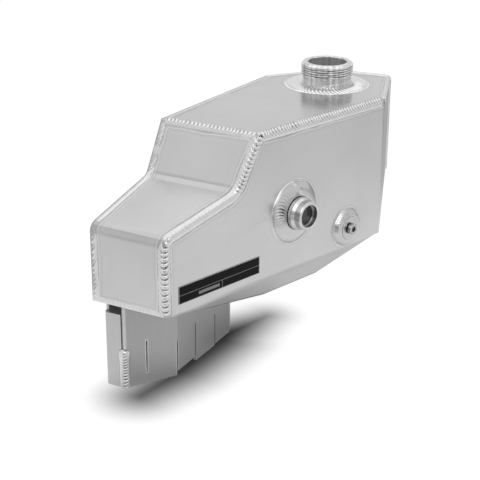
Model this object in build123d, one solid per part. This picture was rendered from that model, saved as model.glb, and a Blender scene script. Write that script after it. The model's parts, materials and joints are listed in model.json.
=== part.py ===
from build123d import *
import os
from math import atan2, cos, radians, sin, sqrt, tan

# Coolant degas bottle: a welded aluminium tank with a low nose, a deep rear body and a sump,
# carried by a slotted sheet bracket under the nose. Millimetres, +Z up, nose towards -X.
# Everything is drawn from the near lower corner of the nose, then set on the middle of its floor.

# tank plan
sheet = 3.0                 # wall of every tank plate
near_length = 337.0         # straight near side, nose to rear bend
chamfer_length = 105.0      # turned-in end of the near side plate
chamfer_turn = 35.3         # degrees from +X
rear_width = 77.6
rear_turn = 111.9
front_width = 88.3
front_skew = 104.0          # plan direction of the nose front and of the riser
far_turn = 13.4
far_length = 346.0
side_bend = 6.0             # outside bend radius of the side plates

# tank side profile
tank_height = 158.0
nose_height = 80.0
nose_length = 101.7
nose_rise = 24.5
riser_run = 31.0
nose_bend = 11.0
riser_bend = 13.0

# sump below the plates
sump_depth = 42.0
side_slope = 40.0           # near and far sump faces, degrees from upright
front_slope = 12.3          # long front face, degrees from level
rear_slope = 35.6
rear_rim = 9.0              # level rim between the sump and the tail, along the nose front's normal
tail_slope = 23.2           # the tank's floor climbs behind the near side's bend

# seam beads
bead = 6.5                  # radius of the beads along the two side plates
bead_inset = 4.2            # how far their centres lie inside the corner
riser_bead = 6.0            # bead across the top of the riser, on the same line
edge_bead = 3.0             # small beads: nose foot and turned-in rear edges
edge_inset = 1.6
upright_bead = 3.6          # bead round the rear plate
weld_toe = 1.1              # edge height of a weld round a fitting
weld_crown = 0.8            # how far it bulges
fit_gap = 0.1               # clearance of a weld-on fitting in its hole

# filler neck
neck_past_bend = 4.5        # centre, rearward of the near side's bend
neck_y = 90.3
neck_height = 27.0
neck_radius = 30.0
neck_bore = 22.5
collar_radius = 28.6
thread_run = 16.0
neck_drop = 4.0             # spigot below the top plate
neck_weld = 50.5
neck_weld_height = 4.0
rim_chamfer = 2.5

# sight glass on the near side
sight_x = 188.0
sight_z = 62.0
sight_weld = 36.0
sight_weld_height = 5.0
sight_bung_radius = 20.0
sight_bung_face = 6.0       # bung face, out from the plate
sight_hole = 11.5
sight_flange = 18.0
sight_front = 15.8
sight_reach = 22.0          # front ring, out from the plate
sight_bore = 12.4
lens_setback = 7.0
lens_thick = 5.0
sight_spigot = 10.0
sight_tube = 7.95           # opening through the spigot
sight_flange_thick = 4.0
sight_shoulder = 3.0        # fall from the flange to the barrel
sight_edge = 1.0            # chamfer of the front ring
bung_let_in = 2.0           # how far a boss stands behind the plate
gasket_width = 2.5
lens_ring_wire = 1.3
seal_edge = 1.5             # seal's edge inside the flange's edge

# service port on the near side
port_x = 276.6
port_z = 20.4
port_weld = 23.0
port_weld_height = 6.0
port_bung_radius = 13.6
port_bung_face = 6.5
port_hole = 4.5
plug_head = 6.4
plug_head_thick = 3.4
plug_edge = 0.6             # chamfer of the head
hex_socket = 6.0            # across flats
hex_depth = 5.0
thread_gap = 0.05           # running clearance of a screwed spigot
seal_thick = 1.4

# label plate
label_x = 19.0
label_z = 6.5
label_length = 115.5
label_height = 19.0
label_thick = 0.6

# bracket under the nose
bracket_sheet = 3.0
bracket_drop = 96.5
bracket_x = -10.5           # near front corner
bracket_y = 52.0
bracket_width = 26.0
flange_top = 14.0           # front flange starts this far under the tank
flange_clear = 2.0          # the gap above it is wider than the sheet by this
corner_gap = 1.5
bracket_bend = 5.0
panel_lengths = (62.0, 38.0, 43.0, 35.0, 17.0)
panel_turns = (-15.0, 17.0, 16.5, 17.5, 42.0)
panel_lifts = (0.0, 5.0, 0.0, 1.5, 4.0)
slit_width = 1.6
slit_heights = (40.0, 45.0, 38.0)
pierced_slit = (26.0, 13.0, 36.0)   # along the first panel, above the floor, length
far_wall_length = 118.0
bolt_radius = 4.25
bolt_spacing = 60.0
bolt_setback = 34.0
bolt_height = 22.0
bracket_weld = 45.0         # bead up the front corner
bracket_bead = 5.0
bracket_root = (0.5, 0.3)   # its centre, along the wall and along the flange

# fittings on the far side
outlet_at = 268.0           # along the far plate
outlet_z = 30.0
outlet_radius = 19.0        # hose seat
outlet_spigot = 18.0        # turned down where it is let in
outlet_bore = 16.5
outlet_reach = 52.0
outlet_weld = 24.0
outlet_weld_height = 4.0
vent_at = (188.0, 240.0)
vent_drop = 42.0            # under the top plate
vent_radius = 5.0
vent_spigot = 4.4
vent_bore = 3.2
vent_reach = 30.0
pipe_let_in = 3.0           # how far a pipe stands behind the plate
pipe_edge = 1.0             # chamfer of its free end
tab_at = 316.0
tab_z = 96.0
tab_width = 40.0
tab_reach = 46.0
tab_hole = 4.5
tab_sheet = 4.0

# inside the tank
baffle_at = 208.0           # from the nose front, along its normal
baffle_sheet = 2.0
baffle_hole = 14.0
baffle_foot = 12.0
baffle_head = 20.0
baffle_middle = 66.0        # middle of its holes, from the near side along the nose front
baffle_spacing = (61.6, 50.4)       # its holes, across and up


def heading(turn):
    return Vector(cos(radians(turn)), sin(radians(turn)), 0)


def meet(p, u, q, v):
    """Point where the plan line p + s*u crosses q + t*v."""
    det = u.X * -v.Y + v.X * u.Y
    d = q - p
    s = (d.X * -v.Y + v.X * d.Y) / det
    return p + u * s


skew = heading(front_skew)
front_normal = heading(front_skew - 90)
far_line = heading(far_turn)
far_normal = heading(far_turn + 90)
corner_a = Vector(0, 0, 0)
corner_b = Vector(near_length, 0, 0)
corner_r = corner_b + heading(chamfer_turn) * chamfer_length
corner_v = corner_r + heading(rear_turn) * rear_width
corner_d = skew * front_width
corner_e = corner_d + far_line * far_length
outline = [corner_a, corner_b, corner_r, corner_v, corner_e, corner_d]


def inset_outline(gap):
    """Plan corners of the tank moved inwards by gap."""
    moved = []
    for i, here in enumerate(outline):
        before, after = outline[i - 1], outline[(i + 1) % len(outline)]
        u, v = (here - before).normalized(), (after - here).normalized()
        nu, nv = Vector(-u.Y, u.X, 0), Vector(-v.Y, v.X, 0)
        moved.append(meet(here + nu * gap, u, here + nv * gap, v))
    return moved


def plan_prism(points, low, high):
    face = make_face(Polyline(*[(p.X, p.Y) for p in points], close=True))
    return extrude(Pos(0, 0, low) * face, amount=high - low)


profile_points = [
    (0, 0),
    (0, nose_height),
    (nose_length, nose_height + nose_rise),
    (nose_length + riser_run, tank_height),
]


def offset_line(points, gap):
    """Open XZ polyline moved to its right by gap."""
    lines = []
    for (x0, z0), (x1, z1) in zip(points, points[1:]):
        run = sqrt((x1 - x0) ** 2 + (z1 - z0) ** 2)
        u = Vector((x1 - x0) / run, (z1 - z0) / run, 0)
        lines.append((Vector(x0, z0, 0) + Vector(u.Y, -u.X, 0) * gap, u))
    level = heading(0)
    ends = [(Vector(0, points[0][1], 0), level), (Vector(0, points[-1][1], 0), level)]
    chain = [ends[0]] + lines + [ends[1]]
    return [meet(*a, *b) for a, b in zip(chain, chain[1:])]


def swept_along_front(points, radii):
    """Closed XZ outline, with some corners rounded, drawn out along the nose front."""
    reach = 3 * front_width
    with BuildSketch(Plane.XZ) as drawn:
        with BuildLine():
            Polyline(*[(p.X, p.Y) for p in points], close=True)
        make_face()
        for corner, radius in radii:
            spot = min(drawn.vertices(), key=lambda v: abs(v.X - corner.X) + abs(v.Y - corner.Y))
            fillet(spot, radius)
    start = Pos(*(skew * -front_width * 0.5)) * drawn.sketch
    return extrude(start, amount=reach, dir=skew)


def profile_solid():
    """Everything behind the nose front, under the nose top and behind the riser."""
    line = [Vector(x, z, 0) for x, z in profile_points]
    far = 2 * near_length
    back = [Vector(far, tank_height, 0), Vector(far, -sump_depth, 0), Vector(0, -sump_depth, 0)]
    return swept_along_front(line + back, [(line[1], nose_bend), (line[2], riser_bend)])


profile = profile_solid()
inner = inset_outline(sheet)
tail_start = corner_b.dot(front_normal)
tail_normal = front_normal * -sin(radians(tail_slope)) + Vector(0, 0, cos(radians(tail_slope)))


def tail_plane(inset):
    origin = front_normal * tail_start - Vector(0, 0, sheet) + tail_normal * inset
    return Plane(origin=origin, z_dir=tail_normal)


def tail_level(point):
    """Height of the tail's outer face over a plan point."""
    return (point.dot(front_normal) - tail_start) * tan(radians(tail_slope)) - sheet


def plan_distance(a, b):
    return sqrt((a.X - b.X) ** 2 + (a.Y - b.Y) ** 2)


def upright_fillet(plate, corner, radius):
    """Round the upright edge that stands on a plan corner."""
    edges = plate.edges().filter_by(Axis.Z)
    return fillet(min(edges, key=lambda e: plan_distance(e.center(), corner)), radius)


def wall(first, last):
    """Upright plate from one plan corner to another, mitred at both ends and bent between."""
    span = range(first, last + 1)
    points = [outline[i] for i in span] + [inner[i] for i in reversed(span)]
    plate = plan_prism(points, 0, tank_height - sheet)
    for i in range(first + 1, last):
        plate = upright_fillet(plate, outline[i], side_bend)
        plate = upright_fillet(plate, inner[i], side_bend - sheet)
    return split(plate & profile, bisect_by=tail_plane(sheet), keep=Keep.TOP)


def hole(centre, direction, radius, length):
    """Cylinder centred on a point, for cutting."""
    plane = Plane(origin=centre, z_dir=direction)
    return plane * Cylinder(radius, length)


toward = Vector(0, -1, 0)
sight_centre = Vector(sight_x, 0, sight_z)
port_centre = Vector(port_x, 0, port_z)
neck_centre = Vector(near_length + neck_past_bend, neck_y, tank_height)
outlet_centre = corner_d + far_line * outlet_at + Vector(0, 0, outlet_z)
vent_level = Vector(0, 0, tank_height - vent_drop)
vent_centres = [corner_d + far_line * at + vent_level for at in vent_at]


def near_side_plate():
    plate = wall(0, 2)
    plate -= hole(sight_centre, toward, sight_bung_radius + fit_gap, 6 * sheet)
    return plate - hole(port_centre, toward, port_bung_radius + fit_gap, 6 * sheet)


def far_side_plate():
    plate = wall(3, 5)
    plate -= hole(outlet_centre, far_normal, outlet_spigot + fit_gap, 6 * sheet)
    for centre in vent_centres:
        plate -= hole(centre, far_normal, vent_spigot + fit_gap, 6 * sheet)
    return plate


def rear_plate():
    return wall(2, 3)


def top_plate():
    plate = plan_prism(outline, tank_height - sheet, tank_height) & profile
    return plate - hole(neck_centre, Vector(0, 0, 1), collar_radius + fit_gap, 6 * sheet)


def front_wrap():
    """Nose front, nose top and riser in one bent sheet between the side plates."""
    line = [Vector(x, z, 0) for x, z in profile_points]
    back = offset_line(profile_points, sheet)
    radii = [(line[1], nose_bend), (line[2], riser_bend)]
    radii += [(back[1], nose_bend - sheet), (back[2], riser_bend + sheet)]
    band = swept_along_front(line + back[::-1], radii)
    return (band & plan_prism(outline, 0, tank_height - sheet)) - wall(0, 2) - wall(3, 5)


fore, aft, side = radians(front_slope), radians(rear_slope), radians(side_slope)
sump_faces = {
    "near": (corner_a, Vector(0, cos(side), sin(side))),
    "far": (corner_d, far_normal * -cos(side) + Vector(0, 0, sin(side))),
    "fore": (corner_a, front_normal * sin(fore) + Vector(0, 0, cos(fore))),
    "aft": (front_normal * (tail_start - rear_rim), front_normal * -sin(aft) + Vector(0, 0, cos(aft))),
}


def sump_plane(face, inset):
    point, normal = sump_faces[face]
    return Plane(origin=point - Vector(0, 0, sheet) + normal * inset, z_dir=normal)


def sump_form(inset):
    """Sump outline with every face moved inwards by inset."""
    form = plan_prism(inset_outline(inset), -sump_depth + inset, 0)
    for face in sump_faces:
        form = split(form, bisect_by=sump_plane(face, inset), keep=Keep.TOP)
    return form


def lower_form(inset):
    """Lower half of the tank with its climbing tail, and the sump, every floor raised by inset."""
    body = plan_prism(inset_outline(-inset), inset - sheet, tank_height / 2 + inset)
    body = split(body, bisect_by=tail_plane(inset), keep=Keep.TOP)
    return body + sump_form(inset)


def underside():
    """Rim under the plates, falling into the sump and climbing into the tail."""
    return lower_form(0) - lower_form(sheet)


def underside_pan():
    """Middle sheet of the underside, between the two skirts."""
    pan = underside()
    for face in ("near", "far"):
        pan = split(pan, bisect_by=sump_plane(face, sheet), keep=Keep.TOP)
    return pan


def skirt(face):
    """Sloping sheet between a side plate and the underside pan."""
    return split(underside(), bisect_by=sump_plane(face, sheet), keep=Keep.BOTTOM)


def rod(points, radius):
    """Round bar along straight runs, with balls at the turns."""
    body = None
    for a, b in zip(points, points[1:]):
        run = b - a
        bar = Plane(origin=a, z_dir=run) * Cylinder(
            radius, run.length, align=(Align.CENTER, Align.CENTER, Align.MIN)
        )
        body = bar if body is None else body + bar
    for p in points[1:-1]:
        body += Pos(p.X, p.Y, p.Z) * Sphere(radius)
    return body


tank_body = split(plan_prism(outline, -sheet, tank_height), bisect_by=tail_plane(0), keep=Keep.TOP)
tank_form = (tank_body & profile) + sump_form(0)


def bend_points(before, corner, after, radius, steps=4):
    """Points along the arc that rounds a corner of a path."""
    u, v = (before - corner).normalized(), (after - corner).normalized()
    half = acos_plain(u.dot(v)) / 2
    setback = radius / tan(half)
    centre = corner + (u + v).normalized() * (radius / sin(half))
    first, last = corner + u * setback - centre, corner + v * setback - centre
    total = acos_plain(first.normalized().dot(last.normalized()))
    points = []
    for i in range(steps + 1):
        t = i / steps
        a, b = sin((1 - t) * total) / sin(total), sin(t * total) / sin(total)
        points.append(centre + first * a + last * b)
    return points


def acos_plain(value):
    return atan2(sqrt(max(0.0, 1 - value * value)), value)


def side_path(y_line):
    """Seam path up the nose and riser, on the near or the far plate line."""
    flat = offset_line(profile_points, bead_inset)
    flat[-1] = flat[-1] - (flat[-1] - flat[-2]) * (bead_inset / (flat[-1] - flat[-2]).Y)
    near = [Vector(p.X, bead_inset, p.Y) for p in flat]
    near[0] = near[0] - Vector(0, 0, sheet)
    path = [near[0]]
    path += bend_points(near[0], near[1], near[2], nose_bend - bead_inset)
    path += bend_points(near[1], near[2], near[3], riser_bend + bead_inset)
    path.append(near[3])
    if y_line == "near":
        return path
    edge = corner_d - far_normal * bead_inset
    crossed = []
    for p in path:
        flat_point = meet(Vector(p.X, p.Y, 0), skew, edge, far_line)
        crossed.append(Vector(flat_point.X, flat_point.Y, p.Z))
    return crossed


def rim(inset):
    """Plan corners on a line that lies inset inside the top edges."""
    return [p + Vector(0, 0, tank_height - inset) for p in inset_outline(inset)]


near_path = side_path("near")
far_path = side_path("far")
rim_points = rim(bead_inset)
edge_points = rim(edge_inset)


def long_bead(path, turn, last):
    """Full bead to the bend of a side plate, then a small one along its turned-in end."""
    bar = rod(path + [rim_points[turn]], bead)
    end = rim_points[turn]
    bar += Pos(end.X, end.Y, end.Z) * Sphere(bead)
    return bar + rod([edge_points[turn], edge_points[last]], edge_bead) - tank_form


def near_seam():
    return long_bead(near_path, 1, 2)


def far_seam():
    return long_bead(far_path, 4, 3)


def rear_seam():
    """Bead up both rear corners and across the top of the rear plate."""
    feet = [Vector(p.X, p.Y, tail_level(p) + sheet) for p in edge_points[2:4]]
    ends = [feet[0], edge_points[2], edge_points[3], feet[1]]
    return rod(ends, upright_bead) - tank_form - near_bead - far_bead


def riser_seam():
    bar = rod([near_path[-1], far_path[-1]], riser_bead)
    return bar - tank_form - near_bead - far_bead


def front_seam():
    """Small bead along the foot of the nose front."""
    line = front_normal * edge_inset + Vector(0, 0, edge_inset - sheet)
    bar = rod([corner_a + line, corner_d + line], edge_bead)
    return bar - tank_form - near_bead - far_bead


def turned(profile_rz, centre, direction):
    """Solid of revolution from (radius, height) points, stood on a point along a direction."""
    with BuildSketch(Plane.XZ) as drawn:
        with BuildLine():
            Polyline(*profile_rz, close=True)
        make_face()
    body = revolve(drawn.sketch, Axis.Z)
    return Plane(origin=centre, z_dir=direction) * body


def weld_ring(outer, inner_radius, height, centre, direction):
    """Fillet weld round a fitting: steep at its toe, then falling away from the fitting."""
    points = [
        (inner_radius, 0),
        (outer, 0),
        (outer - weld_toe, weld_toe),
        ((outer + inner_radius) / 2, (weld_toe + height) / 2 + weld_crown),
        (inner_radius, height),
    ]
    return turned(points, centre, direction)


def filler_neck():
    up = Vector(0, 0, 1)
    thread_foot = neck_height - thread_run
    points = [
        (neck_bore, -sheet - neck_drop),
        (collar_radius, -sheet - neck_drop),
        (collar_radius, thread_foot),
        (neck_radius, thread_foot + neck_radius - collar_radius),
        (neck_radius, neck_height - rim_chamfer),
        (neck_radius - rim_chamfer, neck_height),
        (neck_bore, neck_height),
    ]
    return turned(points, neck_centre, up)


def neck_weld_ring():
    return weld_ring(neck_weld, collar_radius, neck_weld_height, neck_centre, Vector(0, 0, 1))


def sight_bung():
    """Threaded boss let into the side plate."""
    points = [
        (sight_hole, -sheet - bung_let_in),
        (sight_bung_radius, -sheet - bung_let_in),
        (sight_bung_radius, sight_bung_face),
        (sight_hole, sight_bung_face),
    ]
    return turned(points, sight_centre, toward)


def sight_weld_ring():
    return weld_ring(sight_weld, sight_bung_radius, sight_weld_height, sight_centre, toward)


def sight_body():
    """Screwed-in glass holder: spigot, flange, waisted barrel and front ring."""
    back = sight_bung_face + seal_thick
    seat = sight_reach - lens_setback - lens_thick
    spigot = sight_hole - thread_gap
    points = [
        (sight_tube, sight_bung_face - sight_spigot),
        (spigot, sight_bung_face - sight_spigot),
        (spigot, back),
        (sight_flange, back),
        (sight_flange, back + sight_flange_thick),
        (sight_front, back + sight_flange_thick + sight_shoulder),
        (sight_front, sight_reach - sight_edge),
        (sight_front - sight_edge, sight_reach),
        (sight_bore, sight_reach),
        (sight_bore, seat - seal_thick),
        (sight_tube, seat - seal_thick),
    ]
    return turned(points, sight_centre, toward)


def flat_ring(outer, bore, low, high, centre):
    points = [(bore, low), (outer, low), (outer, high), (bore, high)]
    return turned(points, centre, toward)


def sight_seal():
    low = sight_bung_face
    return flat_ring(sight_flange - seal_edge, sight_hole, low, low + seal_thick, sight_centre)


def lens_gasket():
    seat = sight_reach - lens_setback - lens_thick
    return flat_ring(sight_bore, sight_bore - gasket_width, seat - seal_thick, seat, sight_centre)


def sight_lens():
    high = sight_reach - lens_setback
    points = [(0, high - lens_thick), (sight_bore, high - lens_thick), (sight_bore, high), (0, high)]
    return turned(points, sight_centre, toward)


def lens_ring():
    """Spring ring that holds the glass in."""
    low = sight_reach - lens_setback
    return flat_ring(sight_bore, sight_bore - lens_ring_wire, low, low + lens_ring_wire, sight_centre)


def port_bung():
    points = [
        (port_hole, -sheet - bung_let_in),
        (port_bung_radius, -sheet - bung_let_in),
        (port_bung_radius, port_bung_face),
        (port_hole, port_bung_face),
    ]
    return turned(points, port_centre, toward)


def port_weld_ring():
    return weld_ring(port_weld, port_bung_radius, port_weld_height, port_centre, toward)


def port_seal():
    low = port_bung_face
    return flat_ring(plug_head - plug_edge, port_hole, low, low + seal_thick, port_centre)


def port_plug():
    """Flanged plug with a hexagon socket."""
    under = port_bung_face + seal_thick
    top = under + plug_head_thick
    radius = port_hole - thread_gap
    points = [
        (0, -sheet),
        (radius, -sheet),
        (radius, under),
        (plug_head, under),
        (plug_head, top - plug_edge),
        (plug_head - plug_edge, top),
        (0, top),
    ]
    body = turned(points, port_centre, toward)
    face = Plane(origin=port_centre + toward * top, z_dir=toward)
    socket = face * RegularPolygon(hex_socket / 2, 6, major_radius=False)
    return body - extrude(socket, amount=-hex_depth)


def label_plate():
    spot = Vector(label_x, 0, label_z)
    plate = Box(label_length, label_thick, label_height, align=(Align.MIN, Align.MAX, Align.MIN))
    return Pos(*spot) * plate


def baffle_plate():
    """Pierced plate across the tank that slows the coolant."""
    across = inset_outline(sheet)
    start = front_normal * baffle_at
    room = plan_prism(across, baffle_foot, tank_height - sheet - baffle_head)
    middle = start + skew * baffle_middle + Vector(0, 0, tank_height / 2)
    slab = Plane(origin=middle, z_dir=front_normal) * Box(tank_height * 2, tank_height * 3, baffle_sheet)
    plate = slab & room
    for side in (-1, 1):
        for level in (-1, 1):
            spot = middle + skew * (side * baffle_spacing[0] / 2)
            spot += Vector(0, 0, level * baffle_spacing[1] / 2)
            plate -= hole(spot, front_normal, baffle_hole, 3 * baffle_sheet)
    return plate


def stub_pipe(radius, spigot, bore, shoulder, reach, centre):
    """Round hose stub: a turned-down spigot let into the far plate, then a plain hose seat."""
    points = [
        (bore, -sheet - pipe_let_in),
        (spigot, -sheet - pipe_let_in),
        (spigot, shoulder),
        (radius, shoulder),
        (radius, reach - pipe_edge),
        (radius - pipe_edge, reach),
        (bore, reach),
    ]
    return turned(points, centre, far_normal)


def outlet_pipe():
    sizes = (outlet_radius, outlet_spigot, outlet_bore, outlet_weld_height)
    return stub_pipe(*sizes, outlet_reach, outlet_centre)


def outlet_weld_ring():
    return weld_ring(outlet_weld, outlet_spigot, outlet_weld_height, outlet_centre, far_normal)


def vent_pipe(centre):
    return stub_pipe(vent_radius, vent_spigot, vent_bore, 0, vent_reach, centre)


def rear_tab():
    """Bolt tab standing out from the far side, level, with a rounded end."""
    root = corner_d + far_line * tab_at + Vector(0, 0, tab_z)
    plane = Plane(origin=root, x_dir=far_line, z_dir=Vector(0, 0, 1))
    end = tab_reach - tab_width / 2
    plate = Pos(0, end / 2, 0) * Box(tab_width, end, tab_sheet)
    plate += Pos(0, end, 0) * Cylinder(tab_width / 2, tab_sheet)
    plate -= Pos(0, end, 0) * Cylinder(tab_hole, 2 * tab_sheet)
    return plane * plate


def bracket_plan():
    """Outer plan corners of the slotted bracket wall, front corner first."""
    points = [Vector(bracket_x, bracket_y, 0)]
    for length, turn in zip(panel_lengths, panel_turns):
        points.append(points[-1] + heading(turn) * length)
    return points


bracket_points = bracket_plan()
floor_z = -bracket_drop


def wall_strip(points, thick, low, high):
    """Upright strip whose outer face follows plan points, thickened to the left."""
    inside = []
    for i, here in enumerate(points):
        u = (points[i] - points[i - 1]).normalized() if i else (points[1] - here).normalized()
        v = (points[i + 1] - here).normalized() if i < len(points) - 1 else u
        nu, nv = Vector(-u.Y, u.X, 0), Vector(-v.Y, v.X, 0)
        if abs(u.X * v.Y - u.Y * v.X) < 1e-9:
            inside.append(here + nu * thick)
        else:
            inside.append(meet(here + nu * thick, u, here + nv * thick, v))
    return plan_prism(points + inside[::-1], low, high)


def bracket_side():
    """Near wall of the bracket, slit from below so that each panel can turn inwards."""
    strip = wall_strip(bracket_points, bracket_sheet, floor_z, 0)
    spans = list(zip(bracket_points, bracket_points[1:], panel_turns, panel_lifts))
    for start, stop, turn, lift in spans:
        if lift > 0:
            middle = (start + stop) / 2 + Vector(0, 0, floor_z)
            place = Pos(*middle) * Rot(0, 0, turn)
            strip -= place * Box((stop - start).length, 6 * bracket_sheet, 2 * lift)
    for corner, turn, height in zip(bracket_points[1:4], panel_turns[1:4], slit_heights):
        place = Pos(*(corner + Vector(0, 0, floor_z))) * Rot(0, 0, turn)
        strip -= place * Box(slit_width, 8 * bracket_sheet, 2 * height)
    along, above, length = pierced_slit
    spot = bracket_points[0] + heading(panel_turns[0]) * along
    spot += Vector(0, 0, floor_z + above + length / 2)
    strip -= Pos(*spot) * Rot(0, 0, panel_turns[0]) * Box(slit_width, 4 * bracket_sheet, length)
    return strip - tank_form - front_bead


far_corner = bracket_points[0] + heading(front_skew) * bracket_width


def bracket_frame():
    """Front flange and far wall of the bracket, one bent sheet, open above the flange."""
    stop = far_corner + heading(0) * far_wall_length
    seat = heading(panel_turns[0] + 90) * bracket_sheet
    front_start = bracket_points[0] + seat + heading(front_skew) * corner_gap
    line = [stop, far_corner, front_start]
    strip = wall_strip(line, bracket_sheet, floor_z, 0)
    strip = upright_fillet(strip, far_corner, bracket_bend)
    clear = Box(2 * (bracket_sheet + flange_clear), 4 * bracket_width, 2 * flange_top)
    opening = Pos(*((bracket_points[0] + front_start) / 2)) * Rot(0, 0, front_skew - 90) * clear
    strip -= opening
    for i in (-0.5, 0.5):
        x = far_corner.X + bolt_setback + bolt_spacing * (i + 0.5)
        spot = Vector(x, far_corner.Y, floor_z + bolt_height)
        strip -= hole(spot, Vector(0, 1, 0), bolt_radius, 4 * bracket_sheet)
    return strip - tank_form - front_bead


def bracket_seam():
    """Bead up the lower part of the bracket's front corner."""
    root = bracket_points[0] + heading(panel_turns[0] + 90) * bracket_sheet
    spot = root + heading(panel_turns[0]) * bracket_root[0] + heading(front_skew) * bracket_root[1]
    ends = [spot + Vector(0, 0, floor_z), spot + Vector(0, 0, floor_z + bracket_weld)]
    bar = rod(ends, bracket_bead)
    return bar - side_sheet - frame_sheet


near_bead = near_seam()
far_bead = far_seam()
front_bead = front_seam()
side_sheet = bracket_side()
frame_sheet = bracket_frame()

pieces = {
    "near_side_plate": near_side_plate(),
    "far_side_plate": far_side_plate(),
    "rear_plate": rear_plate(),
    "top_plate": top_plate(),
    "front_wrap": front_wrap(),
    "underside_pan": underside_pan(),
    "near_skirt": skirt("near"),
    "far_skirt": skirt("far"),
    "baffle_plate": baffle_plate(),
    "near_seam": near_bead,
    "far_seam": far_bead,
    "rear_seam": rear_seam(),
    "riser_seam": riser_seam(),
    "front_seam": front_bead,
    "filler_neck": filler_neck(),
    "neck_weld": neck_weld_ring(),
    "sight_bung": sight_bung(),
    "sight_weld": sight_weld_ring(),
    "sight_seal": sight_seal(),
    "sight_body": sight_body(),
    "lens_gasket": lens_gasket(),
    "sight_lens": sight_lens(),
    "lens_ring": lens_ring(),
    "port_bung": port_bung(),
    "port_weld": port_weld_ring(),
    "port_seal": port_seal(),
    "port_plug": port_plug(),
    "label_plate": label_plate(),
    "outlet_pipe": outlet_pipe(),
    "outlet_weld": outlet_weld_ring(),
    "front_vent_pipe": vent_pipe(vent_centres[0]),
    "rear_vent_pipe": vent_pipe(vent_centres[1]),
    "rear_tab": rear_tab(),
    "bracket_side": side_sheet,
    "bracket_frame": frame_sheet,
    "bracket_seam": bracket_seam(),
}

box = Compound(children=[Compound(p.solids()) for p in pieces.values()]).bounding_box()
to_origin = Pos(-(box.min.X + box.max.X) / 2, -(box.min.Y + box.max.Y) / 2, -box.min.Z)

os.makedirs("parts", exist_ok=True)
for name, piece in pieces.items():
    solids = [to_origin * solid for solid in piece.solids()]
    export_step(solids[0] if len(solids) == 1 else Compound(solids), f"parts/{name}.step")
    print(name, len(solids), round(sum(s.volume for s in solids), 1))
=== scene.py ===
import json
import bpy
import numpy as np
from mathutils import Matrix, Vector


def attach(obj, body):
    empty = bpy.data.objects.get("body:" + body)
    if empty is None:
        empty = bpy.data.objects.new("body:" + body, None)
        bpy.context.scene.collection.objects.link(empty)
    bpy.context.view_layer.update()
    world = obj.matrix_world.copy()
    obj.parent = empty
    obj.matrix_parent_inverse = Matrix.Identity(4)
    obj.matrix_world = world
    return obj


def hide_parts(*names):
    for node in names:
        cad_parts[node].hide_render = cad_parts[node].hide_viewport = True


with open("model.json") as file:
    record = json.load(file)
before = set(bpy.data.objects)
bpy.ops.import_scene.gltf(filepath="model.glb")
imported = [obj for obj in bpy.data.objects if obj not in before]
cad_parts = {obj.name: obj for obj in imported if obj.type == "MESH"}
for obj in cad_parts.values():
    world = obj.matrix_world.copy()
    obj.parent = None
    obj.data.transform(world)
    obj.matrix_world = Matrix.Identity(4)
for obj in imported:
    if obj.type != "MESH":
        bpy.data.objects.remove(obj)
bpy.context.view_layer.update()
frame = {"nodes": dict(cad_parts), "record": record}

mounts = {m["name"]: m for m in frame["record"]["mounts"]}
mm = 0.001
print("stage: frame loaded")

# Everything is worked out in mm from the near lower corner of the nose:
# x along the near plate, y away from it, z up.
tank = {
    "sheet": 3.0, "height": 158.0, "noseHeight": 80.0, "noseLength": 101.7, "noseRise": 24.5, "riserRun": 31.0,
    "noseBend": 11.0, "riserBend": 13.0, "nearLength": 337.0, "chamferLength": 105.0, "chamferTurn": 35.3,
    "rearWidth": 77.6, "rearTurn": 111.9, "frontWidth": 88.3, "frontSkew": 104.0, "farTurn": 13.4, "farLength": 346.0,
    "sumpDepth": 42.0, "sideSlope": 40.0, "frontSlope": 12.3, "rearSlope": 35.6, "rearRim": 9.0, "tailSlope": 23.2,
    "skirtBend": 9.0,
}
neck = {
    "centre": (341.5, 90.3, 158.0), "height": 27.0, "radius": 30.0, "bore": 22.5, "collar": 28.6, "foot": -7.0,
    "threadFoot": 12.4, "threadPitch": 2.6, "threadDepth": 1.0, "chamfer": 2.5, "weld": 50.5, "weldHeight": 4.0,
    "lead": 1.4, "lip": 0.8, "turns": 256, "step": 0.35,
}
sight = {"centre": (188.0, 0.0, 62.0), "cover": 18.3, "weld": 36.0, "weldHeight": 6.6, "hole": 17.0}
port = {"centre": (276.6, 0.0, 20.4), "bung": 13.6, "weld": 23.0, "weldHeight": 6.0, "hole": 11.0}
outlet = {"along": 268.0, "z": 30.0, "spigot": 18.0, "weld": 24.0, "weldHeight": 4.0}
vent = {"along": (188.0, 240.0), "z": 116.0, "spigot": 4.4}

neckTop = np.array(mounts["filler_neck"]["pos_m"])
tankOrigin = neckTop - mm * (np.array(neck["centre"]) + [0, 0, neck["height"]])


# Tank mm to metres in the frame of the part.
def place(points):
    return tankOrigin + mm * np.asarray(points, float)


# Unit plan direction at a turn in degrees from +X.
def heading(turn):
    a = np.radians(turn)
    return np.array([np.cos(a), np.sin(a), 0.0])


# The same direction at length 1.
def unit(v):
    return np.asarray(v, float) / np.linalg.norm(v, axis=-1, keepdims=True)


# Plan point where p + s*u crosses q + t*v, at the height of p; p may be a grid of points.
def crossing(p, u, q, v):
    p = np.asarray(p, float)
    d = q - p
    s = (v[0] * d[..., 1] - v[1] * d[..., 0]) / (u[1] * v[0] - u[0] * v[1])
    return p + s[..., None] * np.array([u[0], u[1], 0])


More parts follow.
